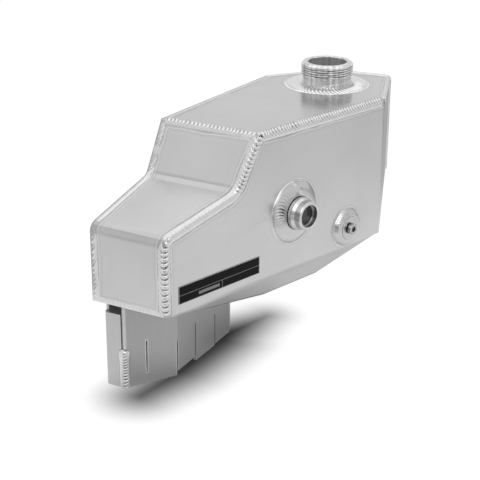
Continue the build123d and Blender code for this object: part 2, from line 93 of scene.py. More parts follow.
upward = np.array([0.0, 0.0, 1.0])
skew = heading(tank["frontSkew"])
frontNormal = heading(tank["frontSkew"] - 90)
farLine = heading(tank["farTurn"])
farNormal = heading(tank["farTurn"] + 90)
nearNormal = heading(-90)
nearNose = np.zeros(3)
nearBend = np.array([tank["nearLength"], 0.0, 0.0])
nearRear = nearBend + heading(tank["chamferTurn"]) * tank["chamferLength"]
farRear = nearRear + heading(tank["rearTurn"]) * tank["rearWidth"]
farNose = skew * tank["frontWidth"]
farBend = farNose + farLine * tank["farLength"]
outline = np.array([nearNose, nearBend, nearRear, farRear, farBend, farNose])
tailStart = nearBend @ frontNormal


# Height of the underside: level, then climbing behind the near side's bend.
def tailLevel(points):
    climb = (points @ frontNormal - tailStart) * np.tan(np.radians(tank["tailSlope"]))
    return np.maximum(climb, 0) - tank["sheet"]


# The points moved on to the underside, and up by lift.
def onTail(points, lift=0.0):
    return points * [1, 1, 0] + upward * (tailLevel(points) + lift)[..., None]


# Plan corners moved inwards by gap: each lies where its two moved sides cross.
def insetOutline(gap):
    moved = []
    for i, here in enumerate(outline):
        u, v = unit(here - outline[i - 1]), unit(outline[(i + 1) % len(outline)] - here)
        nu, nv = (np.array([-w[1], w[0], 0]) for w in (u, v))
        moved.append(crossing(here + nu * gap, u, here + nv * gap, v))
    return np.array(moved)


profileCorners = np.array([
    [0.0, 0.0],
    [0.0, tank["noseHeight"]],
    [tank["noseLength"], tank["noseHeight"] + tank["noseRise"]],
    [tank["noseLength"] + tank["riserRun"], tank["height"]],
])


# Nose front, nose top and riser in x and z, moved inwards by gap, from the floor to the top plate.
def insetProfile(gap):
    chain = [(np.zeros(3), heading(0))]
    for a, b in zip(profileCorners, profileCorners[1:]):
        u = unit(b - a)
        chain.append((np.append(a + np.array([u[1], -u[0]]) * gap, 0), np.append(u, 0)))
    chain.append((np.array([0, tank["height"] - gap, 0]), heading(0)))
    return np.array([crossing(p, u, q, v)[:2] for (p, u), (q, v) in zip(chain, chain[1:])])


# Length along a line of points, from 0.
def runLength(line):
    return np.concatenate([[0], np.cumsum(np.linalg.norm(np.diff(line, axis=0), axis=1))])


# Reads each column of a table at the given places.
def readAt(where, stops, table):
    return np.stack([np.interp(where, stops, column) for column in np.asarray(table, float).T], 1)


# Quadratic curve from a to b that leaves and arrives in the direction of the corner.
def bendCurve(a, corner, b, t):
    return (1 - t) ** 2 * a + 2 * t * (1 - t) * corner + t ** 2 * b


# Corners become curves that start the given setback away, then points at even steps.
def roundedPath(points, setbacks, step):
    points = np.asarray(points, float)
    t = np.linspace(0, 1, 16)[:, None]
    line = [points[:1]]
    for before, corner, after, back in zip(points, points[1:], points[2:], setbacks):
        a = corner + unit(before - corner) * back
        b = corner + unit(after - corner) * back
        line.append(bendCurve(a, corner, b, t))
    line = np.vstack(line + [points[-1:]])
    run = runLength(line)
    even = np.linspace(0, run[-1], int(round(run[-1] / step)) + 1)
    return readAt(even, run, line), even


# The same value from 0 to 1 each time for each whole number and seed.
def chance(index, seed):
    return np.modf(np.abs(np.sin(np.asarray(index) * 12.9898 + seed * 78.233) * 43758.5453))[0]


# Values from -0.5 to 0.5 at every spacing mm, joined by straight lines.
def wander(run, spacing, seed):
    knots = np.arange(run.min(), run.max() + 2 * spacing, spacing)
    return np.interp(run, knots, chance(np.arange(len(knots)), seed)) - 0.5


# A new object for a mesh, camera or lamp.
def addObject(name, data):
    obj = bpy.data.objects.new(name, data)
    bpy.context.collection.objects.link(obj)
    return obj


# Mesh over a grid of points in tank mm. A cell is left out where all its corners are marked in skip.
def gridMesh(name, points, material, closeRows=False, closeCols=False, caps=False, skip=None, values=None, uv=None):
    rows, cols = points.shape[:2]
    index = np.arange(rows * cols).reshape(rows, cols)
    if closeRows:
        index = np.vstack([index, index[:1]])
    if closeCols:
        index = np.hstack([index, index[:, :1]])
    quads = np.stack([index[:-1, :-1], index[1:, :-1], index[1:, 1:], index[:-1, 1:]], -1).reshape(-1, 4)
    if skip is not None:
        quads = quads[~skip.ravel()[quads].all(1)]
    used, quads = np.unique(quads, return_inverse=True)
    faces = quads.reshape(-1, 4).tolist()
    if caps:
        faces += [index[0, :cols].tolist(), index[-1, :cols][::-1].tolist()]
    mesh = bpy.data.meshes.new(name)
    mesh.from_pydata(place(points).reshape(-1, 3)[used].tolist(), [], faces)
    for key, value in (values or {}).items():
        layer = mesh.attributes.new(key, "FLOAT", "POINT")
        layer.data.foreach_set("value", value.astype(np.float32).ravel()[used])
    if uv is not None:
        loops = np.empty(len(mesh.loops), int)
        mesh.loops.foreach_get("vertex_index", loops)
        corners = uv.reshape(-1, 2)[used[loops]].astype(np.float32)
        mesh.uv_layers.new(name="UVMap").data.foreach_set("uv", corners.ravel())
    mesh.polygons.foreach_set("use_smooth", np.ones(len(mesh.polygons), bool))
    mesh.update()
    mesh.materials.append(material)
    return addObject(name, mesh)


# A closed mesh has a positive volume when its faces point outwards.
def facesOut(obj):
    mesh = obj.data
    co = np.empty(len(mesh.vertices) * 3)
    mesh.vertices.foreach_get("co", co)
    mesh.calc_loop_triangles()
    tri = np.empty(len(mesh.loop_triangles) * 3, int)
    mesh.loop_triangles.foreach_get("vertices", tri)
    a, b, c = (co.reshape(-1, 3) - co.reshape(-1, 3).mean(0))[tri.reshape(-1, 3)].transpose(1, 0, 2)
    if np.sum(a * np.cross(b, c)) < 0:
        mesh.flip_normals()
    return obj


# Turns an open sheet's faces to look towards a direction.
def faceTowards(obj, direction):
    mesh = obj.data
    normals = np.empty(len(mesh.polygons) * 3)
    mesh.polygons.foreach_get("normal", normals)
    if np.sum(normals.reshape(-1, 3) @ direction) < 0:
        mesh.flip_normals()
    return obj


# Rides a piece on a body and lets it stand for the CAD nodes that it shows.
def dress(obj, slot, *nodes, body="tank"):
    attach(obj, body)
    if nodes:
        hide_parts(*nodes)


# Short calls to add and join the nodes of one node tree.
class Nodes:
    def __init__(self, tree):
        self.tree = tree

    # A node of one kind, with its inputs fed in order and its settings by name.
    def add(self, kind, *inputs, **settings):
        node = self.tree.nodes.new("ShaderNode" + kind)
        for key, value in settings.items():
            setattr(node, key, value)
        for i, value in enumerate(inputs):
            self.feed(node.inputs[i], value)
        return node

    # Links an output or sets a value; None leaves the input as it is.
    def feed(self, socket, value):
        if isinstance(value, bpy.types.NodeSocket):
            self.tree.links.new(value, socket)
        elif value is not None:
            socket.default_value = value

    def math(self, operation, a, b, clamp=False):
        return self.add("Math", a, b, operation=operation, use_clamp=clamp).outputs[0]

    def plus(self, a, b):
        return self.math("ADD", a, b)

    def times(self, a, b, clamp=False):
        return self.math("MULTIPLY", a, b, clamp)

    # Takes the first two limits to the last two, straight or smooth, and holds beyond them.
    def ramp(self, value, *limits, smooth=False):
        kind = "SMOOTHSTEP" if smooth else "LINEAR"
        return self.add("MapRange", value, *limits, interpolation_type=kind).outputs[0]

    # Takes 0 and 1 to low and high.
    def spread(self, value, low, high):
        return self.ramp(value, 0.0, 1.0, low, high)

    # Takes 0 and 1 to swing below and above the middle.
    def about(self, value, middle, swing):
        return self.spread(value, middle - swing, middle + swing)


# A node shader for one finish.
class Finish(Nodes):
    def __init__(self, name, metallic=1.0):
        self.material = bpy.data.materials.new(name)
        self.material.use_nodes = True
        super().__init__(self.material.node_tree)
        self.shader = self.tree.nodes["Principled BSDF"]
        self.coords = self.add("TexCoord").outputs["Object"]
        self.set("Metallic", metallic)

    def set(self, name, value):
        self.feed(self.shader.inputs[name], value)

    # Noise in metres: scale 100 has lumps of about 10 mm; stretch squeezes each axis.
    def noise(self, scale, stretch=(1, 1, 1), detail=3.0):
        mapped = self.add("Mapping", self.coords, None, None, stretch).outputs[0]
        node = self.add("TexNoise", mapped)
        node.inputs["Scale"].default_value = scale
        node.inputs["Detail"].default_value = detail
        return node.outputs["Fac"]

    def attribute(self, name):
        return self.add("Attribute", attribute_name=name).outputs["Fac"]

    # Straight lines through (place, value) points.
    def curve(self, value, points):
        ramp = self.add("ValToRGB", value)
        stops = ramp.color_ramp.elements
        for stop, (spot, level) in zip(stops, (points[0], points[-1])):
            stop.position = spot
            stop.color = (level, level, level, 1)
        for spot, level in points[1:-1]:
            stops.new(spot).color = (level, level, level, 1)
        return ramp.outputs[0]

    def grey(self, value):
        self.set("Base Color", self.add("CombineColor", value, value, value).outputs[0])

    def rough(self, value):
        self.set("Roughness", value)

    # Bump from a height of 0 to 1, so deep in metres, on top of another one.
    def bump(self, height, depth, after=None):
        node = self.add("Bump")
        inputs = {"Strength": 1.0, "Distance": depth, "Height": height, "Normal": after}
        for socket, value in inputs.items():
            self.feed(node.inputs[socket], value)
        return node.outputs[0]

    def done(self, normal):
        self.set("Normal", normal)
        return self.material


# Rolled sheet: cloudy tone and faint rolling grain. Beside a weld the tone follows "line", whose
# distances are 1 at the reach in mm from the weld's edge and whose level 0.5 is the sheet's own tone.
plateLook = {
    "tone": 0.53, "bend": 0.85, "cloud": 0.045, "grain": 0.014, "grainDepth": 0.0000012, "rough": 0.2,
    "wave": 0.00005, "reach": 25.0, "haze": 0.13, "hazeRough": 0.12, "stray": 0.09,
    "line": [(0.0, 0.1), (0.012, 0.1), (0.035, 0.95), (0.055, 0.9), (0.085, 0.36), (0.12, 0.42), (0.18, 0.56),
             (0.4, 0.5)],
    "roughLine": [(0.0, 1.0), (0.3, 0.25), (0.9, 0.0)],
}


# Tone is clouds plus grain plus the line beside the welds, times the darkening in the bends, which is painted shade
# that takes down the reflections there.
def plateFinish(name, grainStretch, hazed=True):
    f = Finish(name)
    look = plateLook
    grain = f.noise(1.0, grainStretch, 5.0)
    tone = f.about(f.noise(14.0, detail=4.0), look["tone"], look["cloud"])
    tone = f.plus(tone, f.about(grain, 0.0, look["grain"]))
    rough = f.spread(f.noise(60.0, detail=5.0), look["rough"] - 0.04, look["rough"] + 0.06)
    if hazed:
        toe = f.plus(f.attribute("toe"), f.about(f.noise(38.0, detail=5.0), 0.0, look["stray"]))
        haze = f.about(f.curve(toe, look["line"]), 0.0, look["haze"])
        tone = f.plus(tone, f.times(haze, f.spread(f.noise(45.0), 0.2, 1.3)))
        rough = f.plus(rough, f.spread(f.curve(toe, look["roughLine"]), 0.0, look["hazeRough"]))
    f.grey(f.times(tone, f.spread(f.attribute("bend"), 1.0, look["bend"])))
    f.rough(rough)
    return f.done(f.bump(f.noise(16.0, detail=1.0), look["wave"], f.bump(grain, look["grainDepth"])))


# dark is the tone that the crevices are painted, as shade.
weldLook = {"tone": 0.66, "dark": 0.12, "speck": 0.07, "rough": 0.24, "darkRough": 0.5, "ring": -0.12, "neckRingLight": 0.1}


# Weld metal: bright; in the crevices between coins it is rough and painted dark as shade; paler at a ring's rim.
def weldFinish(name, tone, speck, rim=0.0):
    f = Finish(name)
    look = weldLook
    crease = f.times(f.attribute("crease"), f.spread(f.noise(260.0, detail=2.0), 0.5, 1.2), clamp=True)
    grey = f.plus(f.spread(crease, tone, look["dark"]), f.about(f.noise(speck), 0.0, look["speck"]))
    f.grey(f.plus(grey, f.spread(f.attribute("rim"), 0.0, rim)))
    f.rough(f.spread(crease, look["rough"], look["darkRough"]))
    return f.done(f.bump(f.noise(900.0), 0.00001))


# Turned metal: fine tool marks round the axis, so the noise is squeezed along it, and wider streaks.
# In a thread's grooves its tone is darkened as painted shade, and it is less of a mirror inside a bore.
def turnedFinish(name, stretch, tone, rough, streaks=(40, 40, 40), streak=0.04):
    f = Finish(name)
    marks = f.noise(1.0, stretch)
    grey = f.plus(f.about(marks, tone, 0.06), f.about(f.noise(1.0, streaks, 1.0), 0.0, streak))
    f.grey(f.times(grey, f.spread(f.attribute("groove"), 1.0, 0.3)))
    f.rough(f.spread(f.noise(300.0), rough - 0.03, rough + 0.05))
    f.set("Metallic", f.spread(f.attribute("inside"), 1.0, 0.3))
    return f.done(f.bump(marks, 0.000006))


# Moulded, painted or clear stuff with a speckled tone from low to high and a fine skin.
def plainFinish(name, low, high, rough, scale=500.0, metallic=0.0, clear=0.0, skin=0.00001, sheen=0.5):
    f = Finish(name, metallic)
    speck = f.noise(scale)
    f.grey(f.spread(speck, low, high))
    f.rough(f.spread(f.noise(scale * 0.2), rough - 0.04, rough + 0.06))
    f.set("Specular IOR Level", sheen)
    f.set("Transmission Weight", clear)
    return f.done(f.bump(speck, skin))


# Bracket sheet: duller, brushed upright, with painted highlights beside the slits and up the front corner. The
# first panel's "pierced" slit is given along the panel, from the floor up, and by its length.
bracketLook = {
    "tone": 0.45, "flange": 0.13, "rough": 0.42, "metal": 0.75, "edge": 0.28, "highlightFrom": 0.6, "highlightWidth": 2.6,
    "cornerIn": 1.2, "slitHighlightWidth": 1.6, "past": 1.5,
}
bracket = {
    "foot": (-10.5, 52.0, -96.5), "sheet": 3.0, "weld": 45.0, "start": 31.0, "corner": 97.0,
    "lengths": (62.0, 38.0, 43.0, 35.0), "turns": (-15.0, 17.0, 16.5, 17.5), "slits": (40.0, 45.0, 38.0),
    "pierced": (26.0, 13.0, 36.0), "beadIn": 2.2, "beadSide": 0.3, "beadCrest": 235.0,
}


# Plan place in tank mm, lowest and highest point over the floor and width of the painted highlight beside each
# slit: the pierced one, the front corner above its bead, and those up from the foot at the bends.
def slitLines():
    look = bracketLook
    at, turn = np.array(bracket["foot"]), 0.0
    lines = []
    for i, (length, bend) in enumerate(zip(bracket["lengths"], bracket["turns"])):
        turn += bend
        if i == 0:
            along, low, tall = bracket["pierced"]
            lines.append((at + heading(turn) * along, low, low + tall, look["highlightWidth"]))
            corner = at + heading(turn) * look["cornerIn"]
            lines.append((corner, bracket["weld"] + 2, bracket["corner"], look["highlightWidth"]))
        else:
            lines.append((at, 0.0, bracket["slits"][i - 1] - look["past"], look["slitHighlightWidth"] + i))
        at = at + heading(turn) * length
    return lines


# The painted highlight falls from 1 to 0 with the plan distance from a slit, between the slit's ends.
def bracketFinish(name, tone):
    f = Finish(name)
    look = bracketLook
    height = f.add("SeparateXYZ", f.coords).outputs[2]
    flat = f.add("VectorMath", f.coords, (1, 1, 0), operation="MULTIPLY").outputs[0]
    # edge gathers the painted highlight beside the slits.
    edge = 0.0
    for spot, low, high, width in slitLines():
        away = f.add("VectorMath", flat, tuple(place(spot) * [1, 1, 0]), operation="DISTANCE").outputs["Value"]
        near = f.ramp(away, look["highlightFrom"] * mm, width * mm, 1.0, 0.0)
        near = f.times(near, f.math("LESS_THAN", height, (high + look["past"]) * mm))
        near = f.times(near, f.math("GREATER_THAN", height, (low - look["past"]) * mm))
        edge = f.math("MAXIMUM", near, edge)
    brush = f.noise(1.0, (500, 500, 30), 4.0)
    grey = f.plus(f.about(brush, tone, 0.02), f.about(f.noise(18.0), 0.0, 0.03))
    f.grey(f.plus(grey, f.times(edge, look["edge"])))
    f.rough(f.spread(f.noise(80.0), look["rough"] - 0.05, look["rough"] + 0.07))
    f.set("Metallic", look["metal"])
    return f.done(f.bump(brush, 0.0000015))


plateMetal = plateFinish("rolledSheet", (25, 700, 700))
frontMetal = plateFinish("rolledFrontSheet", (700, 25, 700))
innerMetal = plateFinish("innerSheet", (25, 700, 700), hazed=False)
weldMetal = weldFinish("weldMetal", weldLook["tone"], 120.0)
ringMetal = weldFinish("ringWeldMetal", weldLook["tone"] + weldLook["ring"], 420.0, rim=0.14)
# The neck's weld is a lighter copy of the ring weld metal: painted light for the bright metal it reflects.
neckRingLitMetal = weldFinish("neckWeldLitMetal", weldLook["tone"] + weldLook["neckRingLight"], 420.0, rim=0.25)
# The filler neck's strong upright streaks are painted reflection: dark and light bands down its barrel.
turnedUp = turnedFinish("turnedUpright", (40, 40, 3000), tone=0.61, rough=0.16, streaks=(240, 240, 1), streak=0.4)
turnedOut = turnedFinish("turnedSideways", (40, 3000, 40), tone=0.58, rough=0.27, streaks=(110, 3, 110), streak=0.1)
bungFace = turnedFinish("turnedBung", (40, 3000, 40), tone=0.5, rough=0.25)
plugSteel = turnedFinish("turnedSteel", (60, 3000, 60), tone=0.4, rough=0.22, streaks=(300, 30, 300), streak=0.1)
drawnTube = turnedFinish("drawnTube", (300, 20, 300), tone=0.62, rough=0.24)
rubberSkin = plainFinish("sealRubber", 0.015, 0.03, rough=0.55, sheen=0.2)
springSteel = plainFinish("springSteel", 0.3, 0.42, rough=0.28, metallic=1.0)
clearGlass = plainFinish("clearGlass", 0.05, 0.08, rough=0.06, scale=60.0, clear=0.3, skin=0.000002)
bracketMetal = bracketFinish("bracketSheet", bracketLook["tone"])
# The frame's flange is a lighter copy of the bracket sheet: painted light for the light that falls on its face.
flangeMetal = bracketFinish("bracketFlangeLit", bracketLook["tone"] + bracketLook["flange"])

nodeFinish = {
    "filler_neck": turnedUp, "sight_bung": turnedOut, "sight_seal": rubberSkin, "sight_body": turnedOut,
    "lens_gasket": rubberSkin, "sight_lens": clearGlass, "lens_ring": springSteel, "port_bung": bungFace,
    "port_seal": rubberSkin, "port_plug": plugSteel, "label_plate": rubberSkin, "outlet_pipe": drawnTube,
    "front_vent_pipe": drawnTube, "rear_vent_pipe": drawnTube, "rear_tab": bracketMetal,
    "bracket_side": bracketMetal, "bracket_frame": flangeMetal,
}
for nodeName, obj in frame["nodes"].items():
    obj.data.materials.clear()
    obj.data.materials.append(nodeFinish.get(nodeName, innerMetal))
print("stage: finishes")

# What the plates' beads share, in mm and degrees: insets of their lines from the plates' faces, half
# the angle between the plates, coin pitch, bluntness of the two tips, how far a coin's crest runs
# ahead of its flanks, where the flanks are, depth and place of pits, the run beside a corner over
# which two straights blend, and spacing of the mesh
bead = {
    "inset": 4.2, "edgeInset": 1.6, "footInset": 3.0, "meet": 45.0, "pitch": 4.7, "tips": (1, 1), "crescent": 1.25,
    "flank": 60.0, "pit": 1.1, "pitAt": 0.0, "blend": 6, "step": 0.42, "round": 36,
}
# Radius and coin depth of each straight of a bead, and what differs from the above
beadLooks = {
    "nearSeam": {"radii": [6.5, 6.0, 6.3, 6.2], "depths": [0.95, 0.08, 1.0, 0.9], "pitch": [5.8, 4.7, 4.7, 4.2],
                 "tips": (4, 5), "seed": 3},
    "farSeam": {"radii": [6.5, 5.4, 6.0, 4.9], "depths": [3.0, 0.2, 2.8, 0.15], "pitch": [5.4, 4.7, 5.2, 4.7],
                "tips": (4, 5), "pitAt": -30.0, "seed": 7},
    "nearTurnedSeam": {"radii": [3.0], "depths": [0.3], "inset": bead["edgeInset"], "seed": 4},
    "farTurnedSeam": {"radii": [3.0], "depths": [0.3], "inset": bead["edgeInset"], "seed": 8},
    "rearSeam": {"radii": [3.6] * 3, "depths": [0.35] * 3, "tips": (2, 2), "inset": bead["edgeInset"], "seed": 9},
    "riserSeam": {"radii": [6.0], "depths": [0.7], "meet": 30.0, "seed": 11},
    "frontSeam": {"radii": [4.2], "depths": [0.09], "inset": bead["footInset"], "meet": 0.0, "toe": 3.0, "seed": 13},
    "bracketSeam": {"radii": [5.6, 6.2], "depths": [0.75, 0.4], "pitch": 3.4, "tips": (2, 5), "seed": 21},
}
seams = {}  # each bead's own line, for the tone beside it


# Bell curve, 1 at the centre.
def hump(x, centre, width):
    return np.exp(-((x - centre) / width) ** 2)


# A coin over its part from 0 to 1: up to 1 over the first share of it, then down over the rest.
def coinRise(part, up, down):
    return np.where(part < up, part / up, (1 - part) / down)


# Dark line where a coin starts and the one before it ends.
def crevice(part, after, before):
    return hump(part, 0.02, after) + hump(part, 1.0, before)


# Depth of stacked coins, and the painted shade in their crevices and pits. The depth falls from 1 to 0 along each
# coin; its edge lags with the square of the angle off the crest, which bends it into a crescent.
def coins(run, angle, pitch, look):
    seed = look["seed"]
    wide = np.degrees(angle)[None] / look["flank"]
    drift = (np.cumsum(np.gradient(run) / pitch) + 0.5 * wander(run, 11.0, seed))[:, None]
    phase = drift - look["crescent"] * np.minimum(wide ** 2, 1.6) + 0.06 * np.sin(3 * angle[None] + drift)
    coin, part = np.floor(phase), np.mod(phase, 1.0)
    fade = np.clip(1.35 - np.abs(wide), 0, 1) ** 0.6
    uneven = 0.6 + 0.8 * chance(coin, seed)
    pit = look["pit"] * np.exp(-((wide - look["pitAt"] / look["flank"]) / 0.3) ** 2 - ((part - 0.08) / 0.19) ** 2)
    crease = 0.8 * crevice(part, 0.12, 0.09) + 1.3 * pit
    return (1 - coinRise(part, 0.8, 0.2) + pit) * uneven * fade, crease * fade * uneven


# Bead along corners and curves: rings round its line, whose radius loses the depth of the coins. Each
# straight has its crest's direction. It is painted darker, as shade, where it meets the plates: half the angle
# between them plus arccos(inset / radius) off the crest.
def weldBead(name, points, setbacks, crests, *nodes):
    look = {**bead, **beadLooks[name]}
    path, run = roundedPath(points, setbacks, look["step"])
    tangent = unit(np.gradient(path, axis=0))
    knots = runLength(np.asarray(points))
    knots *= run[-1] / knots[-1]
    stops = np.stack([knots[:-1] + look["blend"], knots[1:] - look["blend"]], 1).ravel()
    stops[0], stops[-1] = 0, run[-1]
    pitches = np.broadcast_to(look["pitch"], len(look["radii"]))
    table = np.column_stack([unit(crests), look["radii"], look["depths"], pitches])
    table = readAt(run, stops, np.repeat(table, 2, axis=0))
    crest, size, depth = table[:, :3], table[:, 3:4], table[:, 4:5]
    crest = unit(crest - tangent * np.sum(crest * tangent, 1, keepdims=True))
    across = np.cross(tangent, crest)
    angle = np.linspace(-np.pi, np.pi, look["round"], endpoint=False)
    sunk, crease = coins(run, angle, table[:, 5], look)
    startTip, endTip = look["tips"]
    ends = np.where(run < run[-1] / 2, run / startTip, (run[-1] - run) / endTip)
    cap = np.sqrt(np.clip(1 - (1 - np.clip(ends, 0, 1)) ** 2, 0.03, 1))[:, None]
    r = (size + 0.3 * np.minimum(wander(run, 6.0, look["seed"] + 5), 0)[:, None]) * cap - sunk * depth
    spokes = np.cos(angle)[None, :, None] * crest[:, None] + np.sin(angle)[None, :, None] * across[:, None]
    meets = np.radians(look["meet"]) + np.arccos(np.minimum(look["inset"] / size, 0.99))
    flank = hump(np.abs(angle)[None] - meets, -0.06, 0.1)
    dark = np.clip(crease * np.minimum(depth * 1.2, 1) + flank * np.minimum(depth, 1), 0, 1.4)
    rings = path[:, None] + r[..., None] * spokes
    seams[name] = path
    obj = gridMesh(name, rings, weldMetal, closeCols=True, caps=True, values={"crease": dark})
    dress(facesOut(obj), "weld", *nodes)


nearLine = np.array([[x, bead["inset"], z] for x, z in insetProfile(bead["inset"])])
nearLine[0, 2] -= tank["sheet"]
farSeamLine = crossing(nearLine, skew, farNose - farNormal * bead["inset"], farLine)
rim = insetOutline(bead["inset"]) + upward * (tank["height"] - bead["inset"])
edgeRim = insetOutline(bead["edgeInset"]) + upward * (tank["height"] - bead["edgeInset"])
rearFeet = onTail(edgeRim[2:4], tank["sheet"])
footShift = frontNormal * bead["footInset"] + upward * (bead["footInset"] - tank["sheet"])
chamferNormal, rearNormal = heading(tank["chamferTurn"] - 90), heading(tank["rearTurn"] - 90)
farChamferNormal = unit(np.cross(farBend - farRear, upward))
noseNormal = unit(np.cross([tank["noseLength"], 0, tank["noseRise"]], skew))
riserNormal = unit(np.cross([tank["riserRun"], 0, tank["height"] - tank["noseHeight"] - tank["noseRise"]], skew))
profileNormals = np.array([-frontNormal, noseNormal, riserNormal, upward])
bends = [tank["noseBend"] - 2, tank["riserBend"], 6]

weldBead("nearSeam", [*nearLine, rim[1]], bends, nearNormal + profileNormals, "near_seam")
weldBead("farSeam", [*farSeamLine, rim[4]], bends, farNormal + profileNormals, "far_seam")
weldBead("nearTurnedSeam", edgeRim[1:3], [], [chamferNormal + upward])
weldBead("farTurnedSeam", edgeRim[[4, 3]], [], [farChamferNormal + upward])
rearCrests = rearNormal + np.array([chamferNormal, upward, farChamferNormal])
weldBead("rearSeam", [rearFeet[0], edgeRim[2], edgeRim[3], rearFeet[1]], [4, 4], rearCrests, "rear_seam")
weldBead("riserSeam", [nearLine[-1], farSeamLine[-1]], [], [riserNormal + upward], "riser_seam")
weldBead("frontSeam", [nearNose + footShift, farNose + footShift], [], [-frontNormal], "front_seam")
print("stage: seams")


# Two directions square to an axis: for one that looks sideways, along and up.
def squareTo(out):
    u = unit(np.cross(upward if abs(out[2]) < 0.9 else [1.0, 0, 0], out))
    return u, np.cross(out, u)


# Points at radius r and height h round an axis; r and h are grids of turn by place.
def roundAxis(centre, out, turn, r, h):
    u, v = squareTo(out)
    spin = np.cos(turn)[:, None] * u + np.sin(turn)[:, None] * v
    return np.asarray(centre, float) + r[..., None] * spin[:, None] + h[..., None] * out


# How near each turn is to a spot, 1 at the spot.
def nearTurn(turn, spot, width):
    return hump(np.angle(np.exp(1j * (turn - spot))), 0.0, width)


# Ring welds, in mm and radians: radius at the fitting, coins in the ring and their depth, ripple as
# (everywhere, more at one turn, that turn, its width), a lump as (turn, width, height) and the share
# of the fillet that the coins reach over
ringLooks = {
    "neck": {"from": neck["collar"], "coins": 62, "depth": 1.1, "ripple": (0.12, 0.8, -0.2, 1.4), "seed": 2},
    "sight": {"from": sight["cover"], "coins": 48, "depth": 2.0, "ripple": (0.04, 1.3, 2.85, 0.5),
              "lump": (1.6, 0.2, 2.6), "reach": 0.8, "seed": 5},
    "port": {"from": port["bung"], "coins": 40, "depth": 0.6, "ripple": (0.12, 0.35, 2.1, 0.7),
             "lump": (3.3, 0.35, 0.8), "seed": 8},
    "outlet": {"from": outlet["spigot"], "coins": 44, "depth": 0.8, "ripple": (0.7, 0.0, 0.0, 1.0), "seed": 3},
}


# Fillet weld round a fitting. From the fitting to the toe the height falls as 1 - share^1.7 with a
# small crown; the toe wobbles with the turn and coins run round it.
def ringWeld(key, centre, out, fitting, metal=ringMetal):
    look = ringLooks[key]
    count, seed, inner = look["coins"], look["seed"], look["from"]
    everywhere, added, *rippleSpot = look["ripple"]
    lumpTurn, lumpWidth, lump = look.get("lump", (0.0, 1.0, 0.0))
    turn = np.linspace(0, 2 * np.pi, 540, endpoint=False)
    share = np.linspace(0, 1, 26)
    slow, quick = 0.5 + 0.5 * np.sin(3 * turn + seed), 0.5 + 0.5 * np.sin(7 * turn + 2 * seed)
    toe = fitting["weld"] - 0.5 - 0.9 * slow * quick
    phase = (turn * count / (2 * np.pi))[:, None] - 1.1 * (2 * share[None] - 0.9) ** 2
    coin, part = np.floor(phase), np.mod(phase, 1.0)
    ripple = everywhere + added * nearTurn(turn, *rippleSpot)
    across = np.clip(np.sin(np.pi * np.minimum(share * 0.97 / look.get("reach", 1.0), 1)), 0, 1) ** 0.5
    strength = ripple[:, None] * across[None] * (0.6 + 0.8 * chance(coin % count, seed))
    sunk = look["depth"] * (1 - coinRise(part, 0.78, 0.22)) * strength
    r = inner + (toe[:, None] - inner) * share[None]
    h = fitting["weldHeight"] * (1 - share ** 1.7) + 0.9 * np.sin(np.pi * share ** 1.3) - sunk
    h = h + lump * nearTurn(turn, lumpTurn, lumpWidth)[:, None] * hump(share[None], 0.55, 0.3)
    # Painted shade in the crevices between coins and along a line just inside the toe.
    crease = strength * crevice(part, 0.17, 0.13)
    crease = crease + 0.5 * hump(share, 0.9, 0.03) * (0.5 + wander(turn * 40, 9.0, seed + 2))[:, None]
    ones = np.ones((len(turn), 1))
    more = ((0, 0), (0, 2))  # two columns more, which close the ring inside the sheet
    r = np.hstack([r, toe[:, None], inner * ones])
    h = np.pad(np.maximum(h, 0.02), more, constant_values=-0.4)
    marks = {"crease": np.pad(np.clip(crease, 0, 1.3), more), "rim": np.pad(hump(share, 0.985, 0.035) * ones, more)}
    points = roundAxis(centre, out, turn, r, h)
    obj = gridMesh(key + "Weld", points, metal, closeRows=True, closeCols=True, values=marks)
    dress(facesOut(obj), "weld", key + "_weld")


outletCentre = farNose + farLine * outlet["along"] + upward * outlet["z"]
ringWeld("neck", neck["centre"], upward, neck, neckRingLitMetal)
ringWeld("sight", sight["centre"], nearNormal, sight)
ringWeld("port", port["centre"], nearNormal, port)
ringWeld("outlet", outletCentre, farNormal, outlet)
print("stage: ring welds")


# Thread cut inwards: one groove per pitch, which climbs one pitch in each turn.
def threadCut(turn, r, h):
    along = np.mod(h / neck["threadPitch"] - turn / (2 * np.pi), 1.0)
    groove = np.clip(1 - np.abs(along - 0.5) / 0.3, 0, 1)
    low, high = neck["threadFoot"], neck["height"] - neck["chamfer"] - 0.6
    inside = np.clip(h - low, 0, 1) * np.clip(high - h, 0, 1)
    return r - neck["threadDepth"] * groove * inside * (r > neck["collar"] + 0.5)


neckProfile = [
    (neck["bore"], neck["foot"]), (neck["collar"], neck["foot"]), (neck["collar"], neck["threadFoot"] - neck["lead"]),
    (neck["radius"], neck["threadFoot"]), (neck["radius"], neck["height"] - neck["chamfer"]),
    (neck["radius"] - neck["chamfer"], neck["height"]), (neck["bore"] + neck["lip"], neck["height"]),
    (neck["bore"], neck["height"] - neck["lip"]),
]


# Points at even steps from each point of a line towards the next, so many to each run.
def evenRuns(line, counts):
    return np.vstack([a + (b - a) * np.arange(n)[:, None] / n for a, b, n in zip(line, line[1:], counts)])


